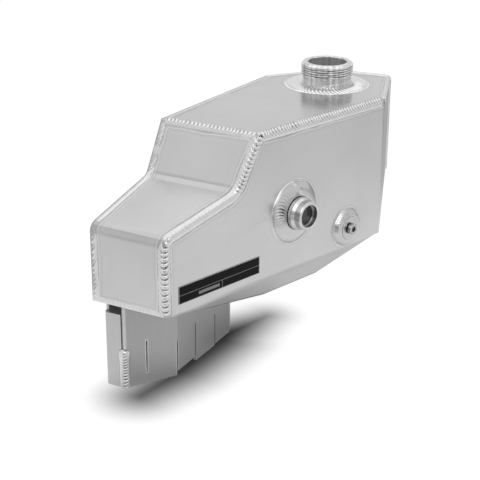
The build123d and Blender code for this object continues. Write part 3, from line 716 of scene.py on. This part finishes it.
# Closed outline of (radius, height) points turned about the axis, with the thread cut in.
def addNeck():
    profile = np.array(neckProfile + neckProfile[:1])
    counts = np.maximum(1, np.ceil(np.linalg.norm(np.diff(profile, axis=0), axis=1) / neck["step"])).astype(int)
    turn = np.linspace(0, 2 * np.pi, neck["turns"], endpoint=False)
    r, h = evenRuns(profile, counts).T[:, None] * np.ones((len(turn), 1))
    cut = threadCut(turn[:, None], r, h)
    # groove is the depth of the thread's cut, which the finish darkens as painted shade.
    marks = {"inside": (r < neck["bore"] + 0.1) * 1.0, "groove": r - cut}
    points = roundAxis(neck["centre"], upward, turn, cut, h)
    obj = gridMesh("fillerNeck", points, turnedUp, closeRows=True, closeCols=True, values=marks)
    facesOut(obj).data.set_sharp_from_angle(angle=np.radians(35))
    dress(obj, "turned", "filler_neck")


addNeck()
print("stage: filler neck")


# Nose front, nose top, riser and their two rounded outer corners in x and z.
def frontCurve(step):
    return roundedPath(insetProfile(0.0), [tank["noseBend"] * 0.84, tank["riserBend"] * 0.45], step)[0]


# Height of the side view over x, which goes on along the top plate
topCurve = frontCurve(1.0)
topCurve = np.vstack([topCurve[topCurve[:, 0] > 1e-6], [900.0, tank["height"]]])


# x at the near plate of the line that runs along the nose front's direction through a point.
def profileX(points):
    return crossing(points * [1, 1, 0], skew, nearNose, heading(0))[..., 0]


low = upward * -tank["sheet"]  # from the plan outline to the sheets' lower edges


# Sump faces as a point and a normal; each foot corner is the point that three of them share.
def footCorner(*names):
    side, fore, aft = (np.radians(tank[k]) for k in ("sideSlope", "frontSlope", "rearSlope"))
    faces = {
        "near": (low, np.array([0, np.cos(side), np.sin(side)])),
        "far": (farNose + low, upward * np.sin(side) - farNormal * np.cos(side)),
        "fore": (low, frontNormal * np.sin(fore) + upward * np.cos(fore)),
        "aft": (frontNormal * (tailStart - tank["rearRim"]) + low, upward * np.cos(aft) - frontNormal * np.sin(aft)),
        "floor": (upward * -tank["sumpDepth"], upward),
        "rim": (low, upward),
    }
    normals = np.array([faces[n][1] for n in names])
    return np.linalg.solve(normals, [faces[n][1] @ faces[n][0] for n in names])


# Foot lines of the two sides, which keep in step along the nose front's direction, also at the tail
# and the bends
besideBend = crossing(farBend, skew, nearBend, heading(tank["chamferTurn"]))
acrossBend = crossing(nearBend, skew, farNose, farLine)
sumpCorners = [("near", "fore", "floor"), ("near", "floor", "aft"), ("near", "aft", "rim")]
nearFoot = np.vstack([[nearNose + low, *(footCorner(*three) for three in sumpCorners)],
                      onTail(np.array([nearBend, besideBend, nearRear]))])
farFoot = np.vstack([[farNose + low, *(footCorner("far", *three[1:]) for three in sumpCorners)],
                     onTail(np.array([acrossBend, farBend, farRear]))])


# Distance from each point to the nearest weld's edge, 1 at the reach.
def toeDistance(points):
    flat = points.reshape(-1, 3)
    best = np.full(len(flat), 1e3)
    for name, path in seams.items():
        radius = beadLooks[name].get("toe", beadLooks[name]["radii"][0])
        for part in np.array_split(np.arange(len(flat)), max(1, len(flat) // 4000)):
            gap = np.sqrt(((flat[part][:, None] - path[None, ::4]) ** 2).sum(2)).min(1)
            best[part] = np.minimum(best[part], gap - radius)
    fittings = (neck["centre"], neck), (sight["centre"], sight), (port["centre"], port), (outletCentre, outlet)
    for centre, fitting in fittings:
        best = np.minimum(best, np.linalg.norm(flat - np.asarray(centre), axis=1) - fitting["weld"] + 0.9)
    return np.clip(best / plateLook["reach"], 0, 1).reshape(points.shape[:2])


# Share of a bend, 1 where one row of the grid turns against the next by more than 4 degrees.
def bendShare(points):
    step = np.diff(points, axis=0)
    step = step / np.maximum(np.linalg.norm(step, axis=2, keepdims=True), 1e-9)
    turn = np.clip((1 - (step[1:] * step[:-1]).sum(2)) / (1 - np.cos(np.radians(4))), 0, 1)
    return np.pad(turn, ((1, 1), (0, 0)))


# Single sheet over a grid with round holes, given its wall inwards. The corners of the cells that
# a hole cuts move on to its edge.
def sheetPiece(name, points, material, outward, holes=(), shadeBends=0):
    skip = np.zeros(points.shape[:2], bool)
    for centre, radius in holes:
        off = points - np.asarray(centre)
        gap = np.linalg.norm(off, axis=2)
        inside = gap < radius
        kept = ~(inside[:-1, :-1] & inside[1:, :-1] & inside[1:, 1:] & inside[:-1, 1:])
        touched = np.zeros_like(inside)
        for part in (np.s_[:-1, :-1], np.s_[1:, :-1], np.s_[1:, 1:], np.s_[:-1, 1:]):
            touched[part] |= kept
        onEdge = (inside & touched)[..., None]
        points = np.where(onEdge, np.asarray(centre) + off * (radius / np.maximum(gap, 1e-6))[..., None], points)
        skip |= inside
    # shadeBends, 1 for the front sheet, turns on the painted shade in its bends.
    marks = {"toe": toeDistance(points), "bend": bendShare(points) * shadeBends}
    obj = gridMesh(name, points, material, skip=skip, values=marks)
    return thicken(faceTowards(obj, outward), tank["sheet"])


# Gives an open sheet its wall, in mm, behind its outer face.
def thicken(obj, thickness):
    wall = obj.modifiers.new("wall", "SOLIDIFY")
    wall.thickness = thickness * mm
    wall.offset = -1.0
    wall.use_even_offset = True
    return obj


# Flat or rolled sheet: straight rulings from a near line to a far line.
def ruled(near, far, count):
    return near[:, None] + (far - near)[:, None] * np.linspace(0, 1, count)[None, :, None]


# Rows of a side sheet in mm: spacing along it, setback of its upright bend and the straight part on
# either side of that, gap under the profile, and rows in the skirt, its bend and the wall
sideRows = {"spacing": 1.9, "setback": 2.5, "beside": 4, "under": 0.6, "skirt": 8, "curve": 9, "wall": 64}


# Side plate and its skirt: columns from the foot line, round the soft bend, up to the profile. Where
# the skirt is less than 8 mm deep, its bend moves up.
def sideGrid(foot, nose, bend, rear):
    rows = sideRows
    straight = np.linalg.norm(bend - nose)
    stations = (foot[:4] - nose) @ unit(bend - nose)
    stops = [*stations, straight - rows["beside"], straight + rows["beside"], straight + np.linalg.norm(rear - bend)]
    s = np.concatenate([np.arange(a, b - 0.5, rows["spacing"]) for a, b in zip(stops, stops[1:])] + [stops[-1:]])
    line, run = roundedPath([nose, bend, rear], [rows["setback"]], 0.25)
    knee = onTail(readAt(s, run * stops[-1] / run[-1], line))
    lower = np.where((s <= stations[-1])[:, None], readAt(s, stations, foot[:4]), knee)
    fall = lower - knee
    depth = np.linalg.norm(fall, axis=1, keepdims=True)
    back = np.minimum(tank["skirtBend"], depth * 0.7)
    shift = upward * np.clip(1 - depth / 8, 0, 1)
    a = knee + fall / np.maximum(depth, 1e-6) * back + shift * 2
    b = knee + upward * back + shift * 5
    t = np.linspace(0, 1, rows["curve"])[None, :, None]
    curve = bendCurve(a[:, None], (knee + shift * 3)[:, None], b[:, None], t)
    top = knee.copy()
    top[:, 2] = np.interp(profileX(knee), topCurve[:, 0], topCurve[:, 1]) - rows["under"]
    return np.concatenate([ruled(lower, a, rows["skirt"])[:, :-1], curve, ruled(b, top, rows["wall"])[:, 1:]], 1)


# Ruled sheet between two lines of corners, with as many rulings to a run on both, so they keep in step.
def ruledRuns(nearCorners, farCorners, rulings, count):
    near, far = (np.vstack([evenRuns(np.array(line), rulings), line[-1:]]) for line in (nearCorners, farCorners))
    return ruled(near, far, count)


nearGrid = sideGrid(nearFoot, nearNose, nearBend, nearRear)
nearHoles = [(fitting["centre"], fitting["hole"]) for fitting in (sight, port)]
near = sheetPiece("nearSideSheet", nearGrid, plateMetal, nearNormal, nearHoles)
dress(near, "plate", "near_side_plate", "near_skirt")
farGrid = sideGrid(farFoot, farNose, farBend, farRear)
farHoles = [(outletCentre, outlet["spigot"] - 1)]
farHoles += [(farNose + farLine * at + upward * vent["z"], vent["spigot"] - 0.4) for at in vent["along"]]
far = sheetPiece("farSideSheet", farGrid, plateMetal, farNormal, farHoles)
dress(far, "plate", "far_side_plate", "far_skirt")

# Rulings to each run, or mm between them, and points across each ruled sheet; the underside's four
# edges are tucked by a share of a cell, so that they end inside the walls of its neighbours
ruledCells = {"top": ([110, 52], 84), "front": (1.3, 60), "rear": ([84], 42), "under": ([90, 32, 34, 6, 10, 42], 50)}
underTuck = 0.35
lid = upward * tank["height"]
riserNear = np.array([profileCorners[-1][0], 0, tank["height"]])
riserFar = crossing(riserNear, skew, farNose, farLine)
nearTop, farTop = [riserNear, nearBend + lid, nearRear + lid], [riserFar, farBend + lid, farRear + lid]
topGrid = ruledRuns(nearTop, farTop, *ruledCells["top"])
dress(sheetPiece("topSheet", topGrid, plateMetal, upward, [(neck["centre"], neck["collar"] - 1)]), "plate", "top_plate")

frontStep, frontCount = ruledCells["front"]
frontNear = np.insert(frontCurve(frontStep), 1, 0.0, axis=1)
frontNear[0, 2] -= tank["sheet"]
frontGrid = ruled(frontNear, crossing(frontNear, skew, farNose, farLine), frontCount)
dress(sheetPiece("frontSheet", frontGrid, frontMetal, -frontNormal + upward, shadeBends=1), "plate", "front_wrap")

rearGrid = ruledRuns([nearFoot[-1], nearRear + lid], [farFoot[-1], farRear + lid], *ruledCells["rear"])
dress(sheetPiece("rearSheet", rearGrid, plateMetal, rearNormal), "plate", "rear_plate")

underGrid = ruledRuns(nearFoot, farFoot, *ruledCells["under"])
for last, before in ((0, 1), (-1, -2)):
    underGrid[last] += underTuck * (underGrid[before] - underGrid[last])
    underGrid[:, last] += underTuck * (underGrid[:, before] - underGrid[:, last])
dress(sheetPiece("undersideSheet", underGrid, plateMetal, -upward), "plate", "underside_pan")
print("stage: tank sheets")

# Bracket corner bead, along the lower half of the corner, fat where it starts
panelTurn = bracket["turns"][0]
root = np.array(bracket["foot"]) + heading(panelTurn + 90) * bracket["sheet"] + heading(panelTurn) * bracket["beadIn"]
root = root + skew * bracket["beadSide"]
beadRoute = [root, root + upward * bracket["start"], root + upward * bracket["weld"]]
weldBead("bracketSeam", beadRoute, [1], [heading(bracket["beadCrest"])] * 2, "bracket_seam")
print("stage: bracket bead")

# Label: black panel with a pale border, two divider lines and one empty pale field, and no words
label = {
    "x": 19.0, "z": 6.5, "length": 115.5, "height": 19.0, "thick": 0.6, "black": 0.008, "pale": 0.62,
    "border": 0.035, "line": 0.016, "divider": 0.47, "post": 0.525, "field": (0.235, 0.49), "fieldHeight": (0.16, 0.34),
}


# The pale parts are bands of the panel's u (along) and v (up) from 0 to 1.
def labelFinish():
    f = Finish("labelPanel", 0.0)
    split = f.add("SeparateXYZ", f.add("UVMap", uv_map="UVMap").outputs[0])
    u, v = split.outputs[0], split.outputs[1]

    def band(value, lowEdge, highEdge):
        return f.times(f.math("GREATER_THAN", value, lowEdge), f.math("LESS_THAN", value, highEdge))

    def either(a, b):
        return f.math("MAXIMUM", a, b)

    edge, line, middle, post = (label[key] for key in ("border", "line", "divider", "post"))
    ratio = label["length"] / label["height"]
    inner = f.times(band(u, edge / ratio, 1 - edge / ratio), band(v, edge, 1 - edge))
    divider = band(v, middle - line, middle + line)
    upright = f.times(band(u, post - line / ratio, post + line / ratio), band(v, 0.0, middle))
    field = f.times(band(u, *label["field"]), band(v, *label["fieldHeight"]))
    pale = either(f.math("SUBTRACT", 1.0, inner), either(divider, either(upright, field)))
    f.grey(f.times(f.spread(pale, label["black"], label["pale"]), f.spread(f.noise(700.0), 0.8, 1.2)))
    f.rough(f.spread(pale, 0.3, 0.4))
    f.set("Specular IOR Level", 0.08)
    return f.done(f.bump(f.noise(900.0), 0.000005))


# Flat panel on the near plate: x and z run evenly with u and v.
def labelPanel():
    u, v = np.linspace(0, 1, 60), np.linspace(0, 1, 12)
    x, z = label["x"] + label["length"] * u[:, None], label["z"] + label["height"] * v
    grid = np.stack(np.broadcast_arrays(x, -label["thick"], z), -1)
    obj = gridMesh("labelPanel", grid, labelFinish(), uv=np.stack(np.meshgrid(u, v, indexing="ij"), -1))
    return thicken(faceTowards(obj, nearNormal), label["thick"] - 0.02)


dress(labelPanel(), "label", "label_plate")

# Level mark scribed beside the sight glass: a thin raised line
levelMark = {"from": (122.5, 62.6), "to": (147.0, 63.8), "width": 1.1, "height": 0.25, "sunk": 0.02}


# Across the line the height is 1 - side^2, and it fades at both ends.
def addLevelMark():
    start, end = (np.array([x, 0, z]) for x, z in (levelMark["from"], levelMark["to"]))
    t, side = np.linspace(0, 1, 40)[:, None], np.linspace(-1, 1, 9)
    grid = start + (end - start) * t[..., None] + upward * (side[:, None] * levelMark["width"] / 2)
    fade = np.clip(np.sin(np.pi * t) * 8, 0, 1)
    lift = levelMark["height"] * (1 - side ** 2) * fade - levelMark["sunk"]
    obj = gridMesh("levelMark", grid + nearNormal * lift[..., None], ringMetal)
    dress(faceTowards(obj, nearNormal), "plate")


addLevelMark()
print("stage: label and level mark")

# Camera in tank mm and degrees, solved from the straight edges and round fittings in the photograph;
# its focal length is in pixels of a frame that is so many pixels wide
view = {
    "eye": (-745.264, -833.305, 520.02), "turn": 44.4018, "tilt": 21.4649, "roll": 0.3018, "focal": 1244.046,
    "frame": 480.0, "sensor": 36.0, "clip": 20.0,
}


# Looks ahead along the turn and down by the tilt, then rolls right and up about that.
def addCamera():
    data = bpy.data.cameras.new("camera")
    cam = addObject("camera", data)
    data.sensor_width = view["sensor"]
    data.lens = view["focal"] / view["frame"] * data.sensor_width
    data.clip_end = view["clip"]
    tilt, roll = np.radians(view["tilt"]), np.radians(view["roll"])
    ahead = heading(view["turn"]) * np.cos(tilt) - upward * np.sin(tilt)
    right = heading(view["turn"] - 90)
    up = np.cross(right, ahead)
    right, up = np.cos(roll) * right + np.sin(roll) * up, np.cos(roll) * up - np.sin(roll) * right
    world = Matrix(np.column_stack([right, up, -ahead]).tolist()).to_4x4()
    world.translation = Vector(place(view["eye"]))
    cam.matrix_world = world
    bpy.context.scene.camera = cam


# Floor lines are plan points in tank mm with a distance that is added at each; a reach is where the
# dimming near such a line starts and ends. The dimming paints the shadow beside the bracket, and shade that only the
# metal's reflections show.
studio = {
    "floor": 0.12, "glow": 0.97, "shadow": [(-9, 29, 18), (59, 39, 10), (138, 68, 0), (223, 71, 31)],
    "shadowReach": (5.0, 87.0), "glossyGlow": 1.0, "glossyShade": 0.38,
    "front": [(-180, -320, 0), (-179, -319, 0)], "frontReach": (130.0, 330.0), "frontGlow": 0.4,
    "under": [(190, 30, 0), (430, 60, 0)], "underReach": (32.0, 80.0), "underGlow": 0.68,
    "far": [(60, -60, 0), (300, -60, 0)], "farReach": (250.0, 700.0), "farGlow": 0.84,
    "backReach": (0.25, 0.7), "backGlow": 0.55,
    "key": {"spot": (0.05, 0.05, 1.9), "size": 3.2, "power": 17.0},
    "fill": {"spot": (-0.9, -1.2, 1.3), "size": 1.4, "power": 6.0},
    "ambient": 0.25, "zenithReach": (0.52, 0.98), "zenith": 0.6, "sideReach": (-0.7, 0.7), "leftSky": 1.0,
    "rightSky": 0.92, "behind": (-0.70, -0.71, 0.1), "behindReach": (0.93, 0.985), "behindSky": 0.25,
}


# Distance in mm, on the floor, from a line between two plan points in tank mm, with a third number
# that is added to it at each end.
def floorDistance(f, start, end):
    extra = start[2], end[2]
    start, end = start[:2], end[:2]
    origin = tuple(place([*start, 0]) * [1, 1, 0])
    here = f.add("VectorMath", f.coords, origin, operation="SUBTRACT").outputs[0]
    along = mm * np.append(np.subtract(end, start), 0)
    share = f.add("VectorMath", here, tuple(along / (along @ along)), operation="DOT_PRODUCT").outputs["Value"]
    nearest = f.add("VectorMath", tuple(along), operation="SCALE")
    f.feed(nearest.inputs["Scale"], f.times(share, 1.0, clamp=True))
    away = f.add("VectorMath", here, nearest.outputs[0], operation="DISTANCE").outputs["Value"]
    return f.plus(f.math("DIVIDE", away, mm), f.spread(share, *extra))


# Grey floor with the part's own faint shadow. Seen rays get a glow that makes it white, and that fades out
# beside the bracket, which paints a dark shadow there. Glossy rays see it dimmer there, near the camera,
# under the tank, far off and at the back: painted shade for the metal's reflections.
def addFloor():
    size = 4.0
    mesh = bpy.data.meshes.new("floor")
    mesh.from_pydata([(-size, -size, 0), (size, -size, 0), (size, size, 0), (-size, size, 0)], [], [(0, 1, 2, 3)])
    floor = addObject("floor", mesh)
    f = Finish("floorPaint", 0.0)
    f.set("Base Color", [studio["floor"]] * 3 + [1])
    f.rough(0.9)
    f.set("Specular IOR Level", 0.0)
    f.set("Emission Color", (1, 1, 1, 1))
    gap = 1e4
    for start, end in zip(studio["shadow"], studio["shadow"][1:]):
        gap = f.math("MINIMUM", gap, floorDistance(f, start, end))
    glow = f.ramp(gap, *studio["shadowReach"], 0.0, studio["glow"], smooth=True)
    mirrored = f.ramp(glow, 0.0, studio["glow"], studio["glossyShade"], studio["glossyGlow"])
    front = f.ramp(floorDistance(f, *studio["front"]), *studio["frontReach"], studio["frontGlow"], 1.0, smooth=True)
    under = f.ramp(floorDistance(f, *studio["under"]), *studio["underReach"], studio["underGlow"], 1.0)
    far = f.ramp(floorDistance(f, *studio["far"]), *studio["farReach"], 1.0, studio["farGlow"])
    side = f.add("VectorMath", f.coords, (1, 1, 0), operation="DOT_PRODUCT").outputs["Value"]
    back = f.ramp(side, *studio["backReach"], 1.0, studio["backGlow"])
    dim = f.times(f.times(front, under), f.times(far, back))
    rays = f.add("LightPath").outputs
    glossy = f.times(rays["Is Glossy Ray"], f.times(dim, mirrored))
    plain = f.times(glow, f.math("MAXIMUM", rays["Is Camera Ray"], rays["Is Transmission Ray"]))
    f.set("Emission Strength", f.plus(glossy, plain))
    mesh.materials.append(f.material)


# A round lamp that looks at the middle of the floor.
def addLamp(name):
    setting = studio[name]
    data = bpy.data.lights.new(name, "AREA")
    data.shape = "DISK"
    data.size = setting["size"]
    data.energy = setting["power"]
    lamp = addObject(name, data)
    lamp.location = setting["spot"]
    lamp.rotation_euler = (-Vector(setting["spot"])).to_track_quat("-Z", "Y").to_euler()


# White surround for seen rays, from the camera, off metal or through glass, and dimmer for others:
# a product of ramps, darker overhead, to the right and behind the camera.
def addWorld():
    world = bpy.data.worlds.new("studio")
    bpy.context.scene.world = world
    world.use_nodes = True
    sky = Nodes(world.node_tree)
    background = sky.tree.nodes["Background"]
    background.inputs["Strength"].default_value = 1.0
    direction = sky.add("TexCoord").outputs["Generated"]
    split = sky.add("SeparateXYZ", direction)
    toCamera = sky.add("VectorMath", direction, studio["behind"], operation="DOT_PRODUCT").outputs["Value"]
    rays = sky.add("LightPath").outputs
    seen = sky.math("MAXIMUM", rays["Is Camera Ray"], rays["Is Glossy Ray"])
    seen = sky.math("MAXIMUM", seen, rays["Is Transmission Ray"])
    overhead = sky.ramp(split.outputs["Z"], *studio["zenithReach"], 1.0, studio["zenith"], smooth=True)
    sides = sky.ramp(split.outputs["X"], *studio["sideReach"], studio["leftSky"], studio["rightSky"], smooth=True)
    behind = sky.ramp(toCamera, *studio["behindReach"], 1.0, studio["behindSky"], smooth=True)
    level = sky.ramp(seen, 0.0, 1.0, studio["ambient"], 1.0, smooth=True)
    sky.feed(background.inputs["Color"], sky.times(sky.times(overhead, sides), sky.times(behind, level)))


addCamera()
addFloor()
addLamp("key")
addLamp("fill")
addWorld()
bpy.context.scene.view_settings.view_transform = "Standard"
print("stage: studio")
